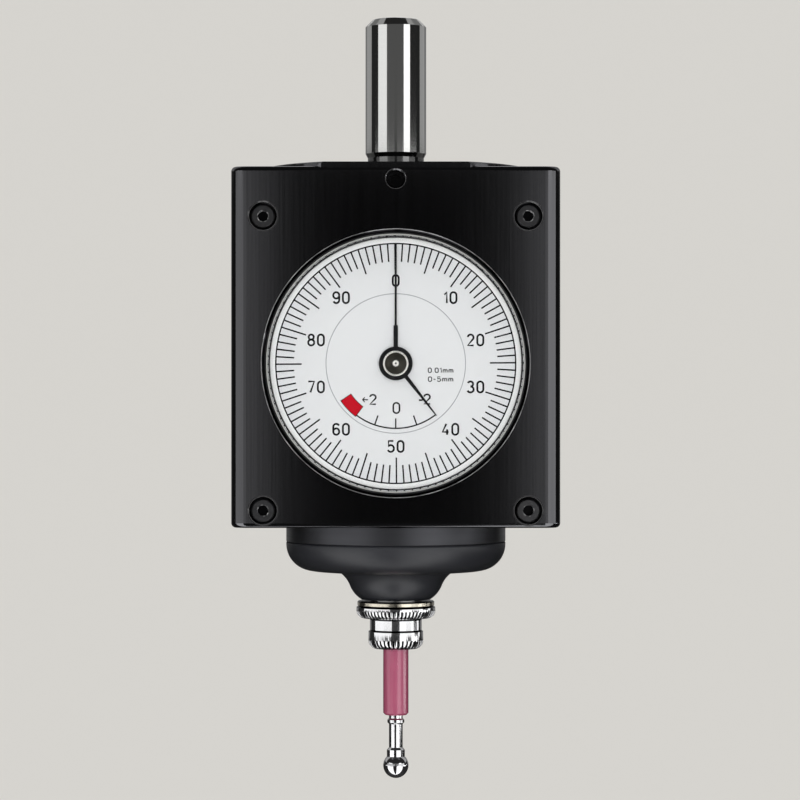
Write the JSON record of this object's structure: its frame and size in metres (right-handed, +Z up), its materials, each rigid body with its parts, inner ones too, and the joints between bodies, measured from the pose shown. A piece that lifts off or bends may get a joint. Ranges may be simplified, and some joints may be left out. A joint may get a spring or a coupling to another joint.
{
  "type": "three-dimensional edge finder",
  "caption": "Dial edge finder for a machine spindle: a case with a round dial on a ground shank, and a sprung ball-ended probe on a cardan joint under a rubber boot.",
  "frame": {"origin": "on the shank's axis, at the lower end of its ground 12 mm cylinder", "axes": "+Z up the shank into the spindle, the dial faces -Y, +X to the dial's right as it is read"},
  "size_m": [0.063, 0.044, 0.1498],
  "materials": {
    "anodised_case": "dark anodised, fine vertical brushed grain",
    "anodised_ring": "dark anodised, satin",
    "ground_steel": "ground",
    "black_steel": "black oxide",
    "plain_steel": "hardened and ground",
    "spring_steel": "drawn wire",
    "hairspring_bronze": "rolled strip",
    "movement_brass": "machined",
    "dial_white": "matt white, printed black scale",
    "crystal_glass": "polished",
    "black_rubber": "satin",
    "pointer_black": "black",
    "bright_steel": "polished",
    "washer_nickel": "warm nickel, polished",
    "pink_ceramic": "ground, semi-matt",
    "ball_steel": "polished"
  },
  "bodies": {
    "case": {"case_body": "anodised_case", "front_cover": "anodised_case", "clamping_shank": "ground_steel", "flange_screws": "black_steel", "runout_screws": "black_steel", "cover_screws": "black_steel", "crystal": "crystal_glass", "crystal_seal": "black_rubber", "dial_plate": "dial_white", "movement_front_plate": "movement_brass", "movement_back_plate": "movement_brass", "movement_pillars": "movement_brass", "movement_screws": "plain_steel", "pinion_bush": "movement_brass", "hairspring": "hairspring_bronze", "hairspring_stud": "plain_steel", "upper_guide_bush": "movement_brass", "lower_guide_bush": "movement_brass", "guide_screw": "black_steel", "return_spring": "spring_steel", "boot_ring": "anodised_ring", "rubber_boot": "black_rubber"},
    "rod": {"plunger": "plain_steel", "joint_cup": "anodised_ring", "cup_pins": "plain_steel", "centring_spring": "spring_steel"},
    "gimbal": {"cardan_ring": "anodised_ring", "ring_pins": "plain_steel"},
    "probe": {"probe_arm": "plain_steel", "boot_washer": "washer_nickel", "knurled_ring": "bright_steel", "stylus_base": "bright_steel", "ceramic_stem": "pink_ceramic", "stylus_tip": "bright_steel", "probe_ball": "ball_steel"},
    "drive": {"pinion_arbor": "plain_steel", "drive_wheel": "movement_brass"},
    "centre": {"centre_arbor": "plain_steel", "main_pointer": "pointer_black", "pointer_hub_cap": "bright_steel"},
    "take_up": {"take_up_arbor": "plain_steel", "take_up_wheel": "movement_brass"},
    "counter": {"counter_wheel": "movement_brass", "small_pointer": "pointer_black"}
  },
  "joints": [
    {"name": "plunger_lift", "type": "slide", "parent": "case", "child": "rod", "axis": [0, 0, 1], "range_m": [0, 0.005], "stiffness_N_per_m": 200, "springref_m": -0.015, "deforming": ["return_spring", "rubber_boot"]},
    {"name": "ring_tilt", "type": "hinge", "parent": "rod", "child": "gimbal", "pos_m": [0, 0, -0.0766], "axis": [1, 0, 0], "range_deg": [-6, 6], "stiffness_Nm_per_rad": 0.5, "deforming": ["centring_spring", "rubber_boot"]},
    {"name": "arm_tilt", "type": "hinge", "parent": "gimbal", "child": "probe", "pos_m": [0, 0, -0.0766], "axis": [0, 1, 0], "range_deg": [-6, 6], "stiffness_Nm_per_rad": 0.5, "deforming": ["centring_spring", "rubber_boot"]},
    {"name": "main_pointer_turn", "type": "hinge", "parent": "case", "child": "centre", "pos_m": [0, -0.015, -0.0416], "axis": [0, 1, 0], "range_deg": [0, 1800]},
    {"name": "drive_arbor_turn", "type": "hinge", "parent": "case", "child": "drive", "pos_m": [-0.00459, -0.01, -0.0316], "axis": [0, 1, 0], "range_deg": [-180, 0]},
    {"name": "take_up_turn", "type": "hinge", "parent": "case", "child": "take_up", "pos_m": [0.00459, -0.01, -0.0516], "axis": [0, 1, 0], "range_deg": [-180, 0], "deforming": ["hairspring"]},
    {"name": "counter_turn", "type": "hinge", "parent": "case", "child": "counter", "pos_m": [0, -0.014, -0.0416], "axis": [0, 1, 0], "range_deg": [0, 94.8]}
  ],
  "couplings": [
    {"joint": "main_pointer_turn", "follows": "plunger_lift", "rad_per_m": 6283.2},
    {"joint": "drive_arbor_turn", "follows": "plunger_lift", "rad_per_m": -628.32},
    {"joint": "take_up_turn", "follows": "plunger_lift", "rad_per_m": -628.32},
    {"joint": "counter_turn", "follows": "plunger_lift", "rad_per_m": 330.69}
  ]
}
